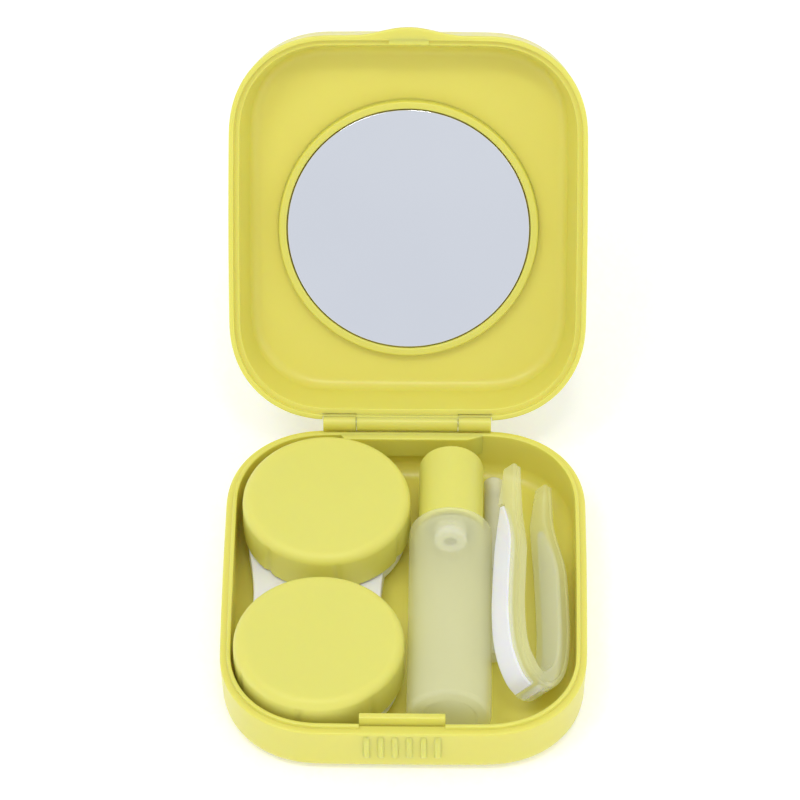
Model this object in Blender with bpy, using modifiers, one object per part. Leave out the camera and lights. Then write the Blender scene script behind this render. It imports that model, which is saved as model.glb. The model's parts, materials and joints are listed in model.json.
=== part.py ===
"""Travel contact lens kit: a hinged case with a mirror in its lid, holding a twin-well
lens case, a solution bottle, soft-tipped tweezers and a lens applicator.

Frame: origin at the centre of the base's underside, +X right, +Y towards the hinge, +Z up.
The case lies open, with its lid leaning back on its stop.  All sizes are in millimetres and
are scaled to metres when a mesh is made.
"""

import math

import bmesh
import bpy
import numpy as np
from mathutils import Matrix, Vector

MM = 0.001
GAP = 0.3                      # clearance between pieces that touch

# ---- the case ---------------------------------------------------------------------------
CASE_WIDTH = 68.0
CASE_DEPTH = 74.4
CORNER_RADIUS = 18.6
CORNER_POWER = 2.2             # 2 is a circular corner, more is squarer
SIDE_BULGE = 0.5               # how far each side bows out at its middle
BASE_HEIGHT = 11.0             # to the flange that the lid's rim rests on
BASE_FLOOR = 1.6
BASE_FILLET = 3.1
BASE_TAPER = 0.5
FLANGE_WIDTH = 1.25
LIP_HEIGHT = 0.8
WALL = 2.0                     # flange and lip together
INNER_COVE = 3.0

LID_HEIGHT = 12.4
LID_INNER_DEPTH = 10.9
LID_RIM_WIDTH = 0.95
LID_REBATE = 1.2
LID_COVE = 2.4
LID_DRAFT = 2.0
LID_FILLET = 5.0
THUMB_TAB_REACH = 1.5
THUMB_TAB_HALF_WIDTH = 10.5

# ---- hinge ------------------------------------------------------------------------------
HINGE_Y = CASE_DEPTH / 2 + 0.6
HINGE_Z = BASE_HEIGHT + 1.3
BARREL_RADIUS = 1.6
BARREL_CLEARANCE = 0.35
PIN_RADIUS = 0.75
LID_KNUCKLE_HALF = 9.55
BASE_KNUCKLE_OUTER = 16.0
OPEN_ANGLE = math.radians(124.5)

# ---- latch and grip ---------------------------------------------------------------------
TONGUE_HALF_WIDTH = 7.9
TONGUE_FACE = CASE_DEPTH / 2 - 2.35       # distance of its front face from the centre
TONGUE_THICKNESS = 1.2
TONGUE_TOP = BASE_HEIGHT + 2.0
HOOK_HALF_WIDTH = 3.75
GRIP_RIBS = 6
GRIP_PITCH = 2.6

# ---- mirror -----------------------------------------------------------------------------
MIRROR_RADIUS = 23.05
MIRROR_THICKNESS = 0.9
MIRROR_Y = 1.7                 # its centre when the lid is closed
RING_INNER = 23.4
RING_OUTER = 24.9
RING_DEPTH = 8.7               # how far the ring's top lies below the lid's rim
PAD_RADIUS = 20.0
PAD_THICKNESS = 0.4

# ---- lens case --------------------------------------------------------------------------
WELL_CENTRES = {"rear": (-14.9, 16.6), "front": (-15.55, -18.1)}
CASE_BOTTOM = BASE_FLOOR + GAP
SKIRT_RADIUS = 14.9
SKIRT_HEIGHT = 4.5
NECK_RADIUS = 13.0
NECK_HEIGHT = 11.4
WELL_RADIUS = 11.4
WELL_FLOOR = 1.4
WEB_CENTRE_X = -16.4
WEB_WAIST = 11.9
WEB_FLARE = 1.3
CAP_RADIUS = 15.8
CAP_HEIGHT = 8.6
CAP_BOTTOM = CASE_BOTTOM + SKIRT_HEIGHT + GAP
CAP_FILLET = 1.9
CAP_NOTCHES = 7
FIRST_NOTCH = {"rear": -81.5, "front": -102.0}     # degrees from +X

# ---- bottle -----------------------------------------------------------------------------
BOTTLE_RADIUS = 7.8
BOTTLE_X = 8.5
BOTTLE_Z = BASE_FLOOR + 0.35 + BOTTLE_RADIUS
BOTTLE_FRONT = -32.3
BOTTLE_BODY = 44.8
BOTTLE_WALL = 0.9
BOTTLE_NECK = 4.3
BOTTLE_BORE = 3.3
BOTTLE_NECK_TOP = 53.0
BOTTLE_CAP_RADIUS = 6.15
BOTTLE_CAP_END = 62.0
NOZZLE_BORE = 1.3
NOZZLE_STEM_BORE = 2.2

# ---- tweezers ---------------------------------------------------------------------------
TWEEZER_ORIGIN = (21.3, 0.0, 7.6)
TWEEZER_ROLL = math.radians(45.0)
TWEEZER_HEIGHT = 6.3
LEAF_HEIGHT = 4.4
LEAF_THICKNESS = 1.3
ARM_THICKNESS = 3.0
LEAF_TIP_Y = 17.0
PAD_TIP_Y = 26.3
BEND_PIVOT_Y = -21.4
PAD_START_Y = -17.2

# ---- applicator -------------------------------------------------------------------------
STICK_RADIUS = 1.9
STICK_X = 16.6
STICK_Z = BASE_FLOOR + GAP + STICK_RADIUS
STICK_FRONT = -13.0
STICK_LENGTH = 43.0
HANDLE_LENGTH = 20.0

OUTLINE_SIDE_STEPS = 4
OUTLINE_CORNER_STEPS = 7

YELLOW = (0.80, 0.74, 0.12, 1.0)
PALE_YELLOW = (0.82, 0.77, 0.20, 1.0)
WHITE = (0.88, 0.88, 0.90, 1.0)
FROSTED = (0.78, 0.79, 0.62, 1.0)
MIRROR = (0.80, 0.83, 0.88, 1.0)
STEEL = (0.60, 0.60, 0.62, 1.0)
FOAM = (0.75, 0.75, 0.72, 1.0)


# ---- scene helpers ----------------------------------------------------------------------
def clear_scene():
    for old in list(bpy.data.objects):
        bpy.data.objects.remove(old, do_unlink=True)


def new_collection(name):
    collection = bpy.data.collections.new(name)
    bpy.context.scene.collection.children.link(collection)
    return collection


def material(name, colour, roughness, metallic=0.0):
    made = bpy.data.materials.new(name)
    made.use_nodes = True
    shader = made.node_tree.nodes["Principled BSDF"]
    shader.inputs["Base Color"].default_value = colour
    shader.inputs["Roughness"].default_value = roughness
    shader.inputs["Metallic"].default_value = metallic
    made.diffuse_color = colour
    return made


def link(name, mesh, surface, collection):
    obj = bpy.data.objects.new(name, mesh)
    if surface:
        mesh.materials.append(surface)
    collection.objects.link(obj)
    if collection is CUTTERS:
        obj.hide_render = True
        obj.display_type = "WIRE"
    return obj


def finish_mesh(name, bm, surface, collection):
    """Turns a bmesh in millimetres into an object in metres."""
    bmesh.ops.scale(bm, vec=(MM, MM, MM), verts=bm.verts)
    bmesh.ops.recalc_face_normals(bm, faces=bm.faces)
    mesh = bpy.data.meshes.new(name)
    bm.to_mesh(mesh)
    bm.free()
    mesh.shade_smooth()
    mesh.set_sharp_from_angle(angle=math.radians(32))
    return link(name, mesh, surface, collection)


def boolean(obj, tool, operation):
    modifier = obj.modifiers.new(tool.name, "BOOLEAN")
    modifier.operation = operation
    modifier.solver = "EXACT"
    modifier.object = tool


def loft(name, rings, surface, collection):
    """A closed body through rings of equal point count, with its first and last ring filled."""
    bm = bmesh.new()
    rows = [[bm.verts.new(point) for point in ring] for ring in rings]
    count = len(rows[0])
    for lower, upper in zip(rows, rows[1:]):
        for i in range(count):
            j = (i + 1) % count
            bm.faces.new((lower[i], lower[j], upper[j], upper[i]))
    bm.faces.new(rows[0])
    bm.faces.new(rows[-1])
    return finish_mesh(name, bm, surface, collection)


def turned(name, profile, surface, collection, steps=32):
    """A profile of (radius, height) turned about local Z with a Screw modifier."""
    bm = bmesh.new()
    points = [bm.verts.new((radius * MM, 0, height * MM)) for radius, height in profile]
    for a, b in zip(points, points[1:]):
        bm.edges.new((a, b))
    if profile[0][0] > 0 and profile[-1][0] > 0:
        bm.edges.new((points[-1], points[0]))
    mesh = bpy.data.meshes.new(name)
    bm.to_mesh(mesh)
    bm.free()
    obj = link(name, mesh, surface, collection)
    screw = obj.modifiers.new("turn", "SCREW")
    screw.steps = steps
    screw.render_steps = steps
    screw.use_merge_vertices = True
    screw.merge_threshold = 0.00001
    screw.use_smooth_shade = True
    return obj


def prism(name, outline, low, high, surface, collection, axis="X"):
    """A flat outline pushed out along an axis, from low to high."""
    bm = bmesh.new()
    if axis == "X":
        corners = [(low, a, b) for a, b in outline]
        push = Vector((high - low, 0, 0))
    else:
        corners = [(a, b, low) for a, b in outline]
        push = Vector((0, 0, high - low))
    face = bm.faces.new([bm.verts.new(corner) for corner in corners])
    result = bmesh.ops.extrude_face_region(bm, geom=[face])
    moved = [item for item in result["geom"] if isinstance(item, bmesh.types.BMVert)]
    bmesh.ops.translate(bm, vec=push, verts=moved)
    return finish_mesh(name, bm, surface, collection)


def box(name, low, high, surface, collection):
    bm = bmesh.new()
    bmesh.ops.create_cube(bm, size=1.0)
    size = Vector(high) - Vector(low)
    centre = (Vector(high) + Vector(low)) / 2
    bmesh.ops.scale(bm, vec=size, verts=bm.verts)
    bmesh.ops.translate(bm, vec=centre, verts=bm.verts)
    return finish_mesh(name, bm, surface, collection)


def rod(name, radius, low, high, centre_y, centre_z, collection, steps=20):
    """A cylinder along X, used for the hinge's pin, bores and notches."""
    bm = bmesh.new()
    bmesh.ops.create_cone(bm, cap_ends=True, segments=steps, radius1=radius, radius2=radius, depth=high - low)
    bmesh.ops.rotate(bm, verts=bm.verts, matrix=Matrix.Rotation(math.pi / 2, 3, "Y"))
    bmesh.ops.translate(bm, vec=((low + high) / 2, centre_y, centre_z), verts=bm.verts)
    return finish_mesh(name, bm, None, collection)


def disc(name, radius, low, high, centre, surface, collection, steps=40, edge=0.0):
    """A cylinder along Z, its two edges chamfered by edge."""
    bm = bmesh.new()
    bmesh.ops.create_cone(bm, cap_ends=True, segments=steps, radius1=radius, radius2=radius, depth=high - low)
    if edge:
        rims = [e for e in bm.edges if abs(e.verts[0].co.z - e.verts[1].co.z) < 1e-6]
        bmesh.ops.bevel(bm, geom=rims, offset=edge, segments=1, affect="EDGES")
    bmesh.ops.translate(bm, vec=(centre[0], centre[1], (low + high) / 2), verts=bm.verts)
    return finish_mesh(name, bm, surface, collection)


def arc(centre, radius, start, end, steps):
    """Points (a, b) on a circular arc, angles in degrees."""
    angles = np.radians(np.linspace(start, end, steps + 1))
    return [(centre[0] + radius * math.cos(t), centre[1] + radius * math.sin(t)) for t in angles]


# ---- the case's outline -----------------------------------------------------------------
def case_outline():
    """The rounded rectangle seen from above, anticlockwise, with slightly bowed sides."""
    half_x = CASE_WIDTH / 2 - SIDE_BULGE
    half_y = CASE_DEPTH / 2 - SIDE_BULGE
    run_x = half_x - CORNER_RADIUS
    run_y = half_y - CORNER_RADIUS
    quarter = np.linspace(0, math.pi / 2, OUTLINE_CORNER_STEPS + 1)
    reach = 2 / CORNER_POWER
    along = np.cos(quarter) ** reach
    across = np.sin(quarter) ** reach
    corner = np.column_stack((run_x + CORNER_RADIUS * along, run_y + CORNER_RADIUS * across))
    back = np.column_stack((np.linspace(run_x, -run_x, OUTLINE_SIDE_STEPS + 2)[1:-1],
                            np.full(OUTLINE_SIDE_STEPS, half_y)))
    left = np.column_stack((np.full(OUTLINE_SIDE_STEPS, -half_x),
                            np.linspace(run_y, -run_y, OUTLINE_SIDE_STEPS + 2)[1:-1]))
    points = np.concatenate((corner, back, corner[::-1] * (-1, 1), left,
                             -corner, -back, corner[::-1] * (1, -1), -left))
    bow_x = 1 + SIDE_BULGE * (1 - (points[:, 1] / half_y) ** 2) / half_x
    bow_y = 1 + SIDE_BULGE * (1 - (points[:, 0] / half_x) ** 2) / half_y
    return points * np.column_stack((bow_x, bow_y))


def outline_normals(points):
    tangent = np.roll(points, -1, axis=0) - np.roll(points, 1, axis=0)
    normal = np.column_stack((tangent[:, 1], -tangent[:, 0]))
    return normal / np.linalg.norm(normal, axis=1)[:, None]


def shell_ring(inset, height, tab=0.0):
    """The case's outline moved in by inset, with a thumb tab of the given reach in front."""
    points = OUTLINE - NORMALS * inset
    if tab:
        share = np.clip(np.abs(OUTLINE[:, 0]) / THUMB_TAB_HALF_WIDTH, 0, 1)
        push = tab * np.cos(share * math.pi / 2) ** 2
        points[:, 1] -= np.where(OUTLINE[:, 1] < 0, push, 0)
    return [(x, y, height) for x, y in points]


# ---- base -------------------------------------------------------------------------------
def make_base():
    outer = [(BASE_TAPER + BASE_FILLET * (1 - math.cos(t)), BASE_FILLET * (1 - math.sin(t)))
             for t in np.linspace(math.pi / 2, 0, 5)]
    top = BASE_HEIGHT
    lip_top = top + LIP_HEIGHT
    rim = [(0.0, top - 0.35), (0.1, top - 0.1), (0.35, top), (FLANGE_WIDTH, top),
           (FLANGE_WIDTH + 0.05, lip_top - 0.2), (FLANGE_WIDTH + 0.2, lip_top),
           (WALL - 0.15, lip_top), (WALL, lip_top - 0.2)]
    wall_foot = WALL + 0.15
    centre = (wall_foot + INNER_COVE, BASE_FLOOR + INNER_COVE)
    inner = arc(centre, INNER_COVE, 180, 270, 4)
    profile = outer + rim + inner
    base = loft("base_shell", [shell_ring(a, z) for a, z in profile], SHELL, PARTS)

    back = CASE_DEPTH / 2
    boolean(base, box("hinge_pad", (-12.1, back - 3.1, 7.0), (12.1, back - WALL + 0.4, lip_top - 0.05), None, CUTTERS), "UNION")
    knuckle = [(back - 0.8, 7.2), (back + 0.1, 6.8)] + arc((HINGE_Y, HINGE_Z), BARREL_RADIUS, -14, 180, 12)
    for side, low, high in (("left", -BASE_KNUCKLE_OUTER, -LID_KNUCKLE_HALF - GAP),
                            ("right", LID_KNUCKLE_HALF + GAP, BASE_KNUCKLE_OUTER)):
        lug = prism("base_knuckle_" + side, knuckle, low, high, None, CUTTERS)
        boolean(base, lug, "UNION")
    notch_half = LID_KNUCKLE_HALF + GAP
    notch = rod("lid_knuckle_room", BARREL_RADIUS + BARREL_CLEARANCE, -notch_half, notch_half,
                HINGE_Y, HINGE_Z, CUTTERS)
    boolean(base, notch, "DIFFERENCE")
    bore = rod("base_pin_bore", PIN_RADIUS + 0.25, -BASE_KNUCKLE_OUTER - 1, BASE_KNUCKLE_OUTER + 1,
               HINGE_Y, HINGE_Z, CUTTERS)
    boolean(base, bore, "DIFFERENCE")
    add_latch_tongue(base)
    add_grip(base)
    return base


def add_latch_tongue(base):
    """A tongue behind the front lip, with a pocket in front of it for the lid's hook."""
    face = -TONGUE_FACE
    pocket = box("hook_pocket", (-6.0, -CASE_DEPTH / 2 + FLANGE_WIDTH - 0.1, BASE_HEIGHT - 0.5),
                 (6.0, face, BASE_HEIGHT + 2.5), None, CUTTERS)
    boolean(base, pocket, "DIFFERENCE")
    back = face + TONGUE_THICKNESS
    root = face - 0.6
    side_view = [(root, BASE_HEIGHT - 0.6), (root, BASE_HEIGHT - 3.0), (back - 0.15, BASE_HEIGHT - 3.6),
                 (back, TONGUE_TOP - 0.15), (back - 0.15, TONGUE_TOP), (face + 0.3, TONGUE_TOP),
                 (face, TONGUE_TOP - 0.3), (face, BASE_HEIGHT - 0.6)]
    tongue = prism("latch_tongue", side_view, -TONGUE_HALF_WIDTH, TONGUE_HALF_WIDTH, None, CUTTERS)
    boolean(base, tongue, "UNION")


def add_grip(base):
    """Upright finger ribs on the front wall."""
    front = -CASE_DEPTH / 2
    for i in range(GRIP_RIBS):
        x = (i - (GRIP_RIBS - 1) / 2) * GRIP_PITCH
        rib = [(x + dx, front + dy) for dx, dy in arc((0, 0.35), 0.75, 180, 360, 6)]
        bar = prism("grip_rib_%d" % (i + 1), rib + [(x + 0.75, front + 1.2), (x - 0.75, front + 1.2)],
                    3.4, BASE_HEIGHT - 0.9, None, CUTTERS, axis="Z")
        boolean(base, bar, "UNION")


# ---- lid --------------------------------------------------------------------------------
def lid_frame():
    """An empty on the hinge's axis; the lid is modelled closed about it, then swung open."""
    pivot = bpy.data.objects.new("lid_hinge", None)
    PARTS.objects.link(pivot)
    pivot.location = (0, HINGE_Y * MM, HINGE_Z * MM)
    pivot.rotation_euler = (-OPEN_ANGLE, 0, 0)
    return pivot


def hang(obj, pivot):
    """Moves a piece modelled in the closed position under the lid's pivot."""
    obj.data.transform(Matrix.Translation((0, -HINGE_Y * MM, -HINGE_Z * MM)))
    obj.parent = pivot
    return obj


def make_lid(pivot):
    rim_z = BASE_HEIGHT + GAP
    inner_start = LID_RIM_WIDTH + 1.05
    floor_z = rim_z + LID_INNER_DEPTH
    wall_height = LID_INNER_DEPTH - LID_REBATE
    slant = math.atan2(LID_DRAFT, wall_height)
    wall_x = inner_start + LID_DRAFT * (wall_height - LID_COVE) / wall_height
    centre = (wall_x + LID_COVE / math.cos(slant), floor_z - LID_COVE)
    cove = arc(centre, LID_COVE, 180 - math.degrees(slant), 90, 5)
    roof_z = rim_z + LID_HEIGHT
    shoulder = [(0.9 + LID_FILLET * (1 - math.cos(t)), roof_z - LID_FILLET * (1 - math.sin(t)))
                for t in np.linspace(0, math.pi / 2, 6)]
    tab = THUMB_TAB_REACH
    profile = [(a, z, 0.0) for a, z in reversed(cove)]
    profile += [(inner_start, rim_z + LID_REBATE, 0.0), (LID_RIM_WIDTH, rim_z + LID_REBATE, 0.0),
                (LID_RIM_WIDTH, rim_z + 0.15, 0.0), (LID_RIM_WIDTH - 0.15, rim_z, 0.0),
                (0.3, rim_z, tab * 0.8), (0.05, rim_z + 0.25, tab), (0.0, rim_z + 0.8, tab),
                (0.15, rim_z + 2.2, tab * 0.85), (0.35, rim_z + 3.6, tab * 0.3), (0.5, rim_z + 4.6, 0.0)]
    profile += [(a, z, 0.0) for a, z in shoulder]
    lid = hang(loft("lid_shell", [shell_ring(a, z, t) for a, z, t in profile], SHELL, PARTS), pivot)

    ring_top = rim_z + RING_DEPTH
    ring = turned("mirror_ring", [(RING_INNER, floor_z + 0.4), (RING_INNER, ring_top + 0.2),
                                  (RING_INNER + 0.25, ring_top), (RING_OUTER - 0.35, ring_top),
                                  (RING_OUTER, ring_top + 0.35), (RING_OUTER, floor_z + 0.4)],
                  None, CUTTERS, steps=40)
    ring.data.transform(Matrix.Translation((0, 0, -HINGE_Z * MM)))
    ring.location = (0, (MIRROR_Y - HINGE_Y) * MM, 0)
    ring.parent = pivot
    boolean(lid, ring, "UNION")

    back = CASE_DEPTH / 2
    web = [(back - 0.9, HINGE_Z + 3.4), (back - 0.9, HINGE_Z)]
    web += arc((HINGE_Y, HINGE_Z), BARREL_RADIUS, 180, 374, 12)
    web += [(back + 0.05, HINGE_Z + 4.6)]
    knuckle = hang(prism("lid_knuckle", web, -LID_KNUCKLE_HALF, LID_KNUCKLE_HALF, None, CUTTERS), pivot)
    boolean(lid, knuckle, "UNION")
    for side, low, high in (("left", -BASE_KNUCKLE_OUTER - GAP, -LID_KNUCKLE_HALF - 0.02),
                            ("right", LID_KNUCKLE_HALF + 0.02, BASE_KNUCKLE_OUTER + GAP)):
        room = hang(rod("base_knuckle_room_" + side, BARREL_RADIUS + BARREL_CLEARANCE, low, high,
                        HINGE_Y, HINGE_Z, CUTTERS), pivot)
        boolean(lid, room, "DIFFERENCE")
    bore = hang(rod("lid_pin_bore", PIN_RADIUS + 0.25, -LID_KNUCKLE_HALF - 1, LID_KNUCKLE_HALF + 1,
                    HINGE_Y, HINGE_Z, CUTTERS), pivot)
    boolean(lid, bore, "DIFFERENCE")

    front = -CASE_DEPTH / 2
    hook_side = [(front + 0.6, rim_z + 0.02), (front + 1.75, rim_z + 0.1), (front + 1.95, rim_z + 0.5),
                 (front + 1.75, rim_z + 1.0), (front + 0.6, rim_z + 1.25)]
    hook = hang(prism("latch_hook", hook_side, -HOOK_HALF_WIDTH, HOOK_HALF_WIDTH, None, CUTTERS), pivot)
    boolean(lid, hook, "UNION")

    pad_low = floor_z - GAP - PAD_THICKNESS
    hang(disc("mirror_adhesive_pad", PAD_RADIUS, pad_low, pad_low + PAD_THICKNESS, (0, MIRROR_Y),
              PAD, PARTS, steps=32), pivot)
    glass_low = pad_low - GAP - MIRROR_THICKNESS
    hang(disc("mirror", MIRROR_RADIUS, glass_low, glass_low + MIRROR_THICKNESS, (0, MIRROR_Y),
              SILVERED, PARTS, edge=0.15), pivot)


def make_hinge_pin():
    pin = rod("hinge_pin", PIN_RADIUS, -BASE_KNUCKLE_OUTER + 0.2, BASE_KNUCKLE_OUTER - 0.2,
              HINGE_Y, HINGE_Z, PARTS, steps=20)
    pin.data.materials.append(METAL)


# ---- lens case --------------------------------------------------------------------------
def make_lens_case():
    skirt = [(0, NECK_HEIGHT), (NECK_RADIUS - 0.3, NECK_HEIGHT), (NECK_RADIUS, NECK_HEIGHT - 0.3),
             (NECK_RADIUS, SKIRT_HEIGHT), (SKIRT_RADIUS - 0.25, SKIRT_HEIGHT), (SKIRT_RADIUS, SKIRT_HEIGHT - 0.25)]
    foot = INNER_COVE
    skirt += arc((SKIRT_RADIUS - foot, foot), foot, 0, -90, 5) + [(0, 0)]
    well = [(0, NECK_HEIGHT + 1), (WELL_RADIUS, NECK_HEIGHT + 1)]
    well += arc((WELL_RADIUS - 3.0, WELL_FLOOR + 3.0), 3.0, 0, -90, 5) + [(0, WELL_FLOOR)]

    (rear_x, rear_y), (front_x, front_y) = WELL_CENTRES["rear"], WELL_CENTRES["front"]
    middle = (rear_y + front_y) / 2
    reach = (rear_y - front_y) / 2 - 5
    edge = [(WEB_WAIST + WEB_FLARE * abs(s) ** 1.8, middle + reach * s) for s in np.linspace(-1, 1, 9)]
    outline = [(WEB_CENTRE_X + half, y) for half, y in edge]
    outline += [(WEB_CENTRE_X - half, y) for half, y in reversed(edge)]
    body = prism("lens_case_body", outline, CASE_BOTTOM + 0.5, CASE_BOTTOM + SKIRT_HEIGHT - 0.1,
                 WHITE_PLASTIC, PARTS, axis="Z")
    for place, (x, y) in WELL_CENTRES.items():
        cup = turned("well_wall_" + place, skirt, None, CUTTERS)
        cup.location = (x * MM, y * MM, CASE_BOTTOM * MM)
        boolean(body, cup, "UNION")
    for place, (x, y) in WELL_CENTRES.items():
        hollow = turned("well_" + place, well, None, CUTTERS)
        hollow.location = (x * MM, y * MM, CASE_BOTTOM * MM)
        boolean(body, hollow, "DIFFERENCE")


def make_lens_cap(place):
    """A screw cap: a rounded disc with a skirt over the well's neck, and shallow finger notches."""
    x, y = WELL_CENTRES[place]
    inner = NECK_RADIUS + 0.7
    ceiling = CAP_HEIGHT - 1.3
    top = arc((CAP_RADIUS - CAP_FILLET, CAP_HEIGHT - CAP_FILLET), CAP_FILLET, 90, 0, 4)
    profile = [(0, CAP_HEIGHT)] + top
    profile += [(CAP_RADIUS, 0.3), (CAP_RADIUS - 0.3, 0), (inner, 0), (inner, ceiling), (0, ceiling)]
    cap = turned(place + "_lens_cap", profile, CAP_PLASTIC, PARTS, steps=40)
    cap.location = (x * MM, y * MM, CAP_BOTTOM * MM)
    for i in range(CAP_NOTCHES):
        angle = math.radians(FIRST_NOTCH[place] + 360 / CAP_NOTCHES * i)
        reach = CAP_RADIUS + 0.95
        notch = disc("%s_notch_%d" % (place, i + 1), 1.5, CAP_BOTTOM - 1, CAP_BOTTOM + CAP_HEIGHT - 2.0,
                     (x + reach * math.cos(angle), y + reach * math.sin(angle)), None, CUTTERS, steps=12)
        boolean(cap, notch, "DIFFERENCE")


# ---- bottle -----------------------------------------------------------------------------
def lay_bottle_piece(obj):
    """Lays a piece turned about Z along +Y, on the bottle's axis."""
    obj.location = (BOTTLE_X * MM, BOTTLE_FRONT * MM, BOTTLE_Z * MM)
    obj.rotation_euler = (-math.pi / 2, 0, 0)


def make_bottle():
    inner = BOTTLE_RADIUS - BOTTLE_WALL
    shoulder = BOTTLE_BODY
    body = [(0, BOTTLE_WALL), (inner - 0.8, BOTTLE_WALL), (inner, BOTTLE_WALL + 0.8),
            (inner, shoulder - 1.8), (inner - 0.8, shoulder - 1.0), (BOTTLE_BORE, shoulder - 1.0),
            (BOTTLE_BORE, BOTTLE_NECK_TOP), (BOTTLE_NECK, BOTTLE_NECK_TOP)]
    crest = BOTTLE_NECK_TOP - 2.6
    body += [(BOTTLE_NECK, crest + 0.5), (BOTTLE_NECK + 0.3, crest), (BOTTLE_NECK, crest - 0.5)]
    body += [(BOTTLE_NECK, shoulder), (BOTTLE_RADIUS - 0.8, shoulder), (BOTTLE_RADIUS - 0.2, shoulder - 0.25),
             (BOTTLE_RADIUS, shoulder - 0.8), (BOTTLE_RADIUS, 0.9), (BOTTLE_RADIUS - 0.25, 0.25),
             (BOTTLE_RADIUS - 0.9, 0), (0, 0)]
    lay_bottle_piece(turned("bottle_body", body, FROSTED_PLASTIC, PARTS))

    seat = BOTTLE_NECK_TOP + GAP
    stem = BOTTLE_BORE - 0.25
    lip = seat + 0.8
    tip = seat + 4.5
    foot = shoulder - 2.4
    nozzle = [(NOZZLE_STEM_BORE, foot), (NOZZLE_STEM_BORE, seat - 0.6), (NOZZLE_BORE, seat - 0.2),
              (NOZZLE_BORE, tip), (NOZZLE_BORE + 0.7, tip), (NOZZLE_BORE + 1.0, lip),
              (BOTTLE_NECK - 0.1, lip), (BOTTLE_NECK - 0.1, seat), (stem, seat), (stem, foot)]
    lay_bottle_piece(turned("bottle_nozzle", nozzle, WHITE_PLASTIC, PARTS, steps=16))

    radius = BOTTLE_CAP_RADIUS
    end = BOTTLE_CAP_END
    start = BOTTLE_BODY + 0.35
    cap = [(0, end)] + arc((radius - 1.4, end - 1.4), 1.4, 90, 0, 5)
    cap += [(radius, start + 0.2), (radius - 0.2, start), (4.9, start), (4.9, end - 1.4), (0, end - 1.4)]
    lay_bottle_piece(turned("bottle_cap", cap, CAP_PLASTIC, PARTS))


# ---- tweezers ---------------------------------------------------------------------------
ARM_OUTLINE = ((1.2, -25.7), (3.5, -24.3), (5.7, -20.8), (6.95, -16.0), (7.4, -9.5), (7.2, -3.0),
               (6.7, 5.5), (5.95, 14.0), (5.45, 21.0), (5.2, PAD_TIP_Y))


def smooth_path(points, steps):
    """A Catmull-Rom curve through the points, with the given steps in each stretch."""
    knots = [np.array(p) for p in points]
    knots = [2 * knots[0] - knots[1]] + knots + [2 * knots[-1] - knots[-2]]
    path = []
    for a, b, c, d in zip(knots, knots[1:], knots[2:], knots[3:]):
        for t in np.arange(steps) / steps:
            path.append(0.5 * (2 * b + (c - a) * t + (2 * a - 5 * b + 4 * c - d) * t ** 2
                               + (3 * b - a - 3 * c + d) * t ** 3))
    path.append(knots[-2])
    return np.array(path)


def arm_sweep(name, path, section, side, surface):
    """Sweeps a changing section along an arm's outer face; side is -1 for left, 1 for right."""
    tangent = np.gradient(path, axis=0)
    tangent /= np.linalg.norm(tangent, axis=1)[:, None]
    rings = []
    for (x, y), (tx, ty) in zip(path, tangent):
        inward = np.array((-ty, tx))
        rings.append([(side * (x + inward[0] * depth), y + inward[1] * depth, height)
                      for depth, height in section(y)])
    obj = loft(name, rings, surface, PARTS)
    obj.location = tuple(v * MM for v in TWEEZER_ORIGIN)
    obj.rotation_euler = (0, TWEEZER_ROLL, 0)
    return obj


def leaf_section(y):
    """The stiff outer leaf: full height along the arm, narrowing to a rounded tip."""
    grow = math.sin(math.pi / 2 * min(1.0, max(0.0, (LEAF_TIP_Y - y) / 13.0)))
    low = 0.5 * (1 - grow)
    high = 1.5 + (LEAF_HEIGHT - 1.5) * grow
    return [(0, low), (LEAF_THICKNESS, low), (LEAF_THICKNESS, high), (0, high)]


def pad_section(y):
    """The soft liner: behind the leaf and over its top edge, then a plain tapering tip."""
    tip = min(1.0, max(0.0, (y - LEAF_TIP_Y - 0.6) / (PAD_TIP_Y - LEAF_TIP_Y - 0.6)))
    past_leaf = y > LEAF_TIP_Y + 0.5
    low = 1.0 * tip
    drop = min(1.0, max(0.0, (y - 3.0) / 16.0))
    high = TWEEZER_HEIGHT - 2.4 * drop * drop * (3 - 2 * drop)
    depth = ARM_THICKNESS - 1.0 * tip
    step = leaf_section(y)[2][1] + GAP
    if past_leaf:
        step = low + 0.15
    behind = LEAF_THICKNESS + GAP
    if past_leaf:
        behind = depth * 0.5
    return [(behind, low), (depth, low), (depth, high), (0, high), (0, step), (behind, step)]


def bend_outline(path):
    """The U that joins the arms: inside the leaves, open towards the tips."""
    tangent = np.gradient(path, axis=0)
    tangent /= np.linalg.norm(tangent, axis=1)[:, None]
    inward = np.column_stack((-tangent[:, 1], tangent[:, 0])) * (LEAF_THICKNESS + GAP)
    outer = (path + inward)[path[:, 1] < PAD_START_Y - GAP - 0.2]
    right = [(0.5, -25.4)] + [(x, y) for x, y in outer]
    end_x, end_y = right[-1]
    throat = end_x - (ARM_THICKNESS - LEAF_THICKNESS - GAP)
    angles = np.radians(np.linspace(0, -180, 11))
    inner = [(throat * math.cos(t), end_y - 4.0 * abs(math.sin(t))) for t in angles]
    left = [(-x, y) for x, y in right]
    return right + inner + left[::-1]


def make_tweezers():
    path = smooth_path(ARM_OUTLINE, 4)
    leaf_path = path[path[:, 1] < LEAF_TIP_Y]
    pad_path = path[path[:, 1] > PAD_START_Y]
    for side, sign in (("left", -1), ("right", 1)):
        arm_sweep("tweezer_%s_leaf" % side, leaf_path, leaf_section, sign, WHITE_PLASTIC)
        arm_sweep("tweezer_%s_pad" % side, pad_path, pad_section, sign, SOFT_CLEAR)
    core = prism("tweezer_spring_end", bend_outline(path), 0.0, TWEEZER_HEIGHT, SOFT_CLEAR, PARTS, axis="Z")
    core.location = tuple(v * MM for v in TWEEZER_ORIGIN)
    core.rotation_euler = (0, TWEEZER_ROLL, 0)


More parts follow.
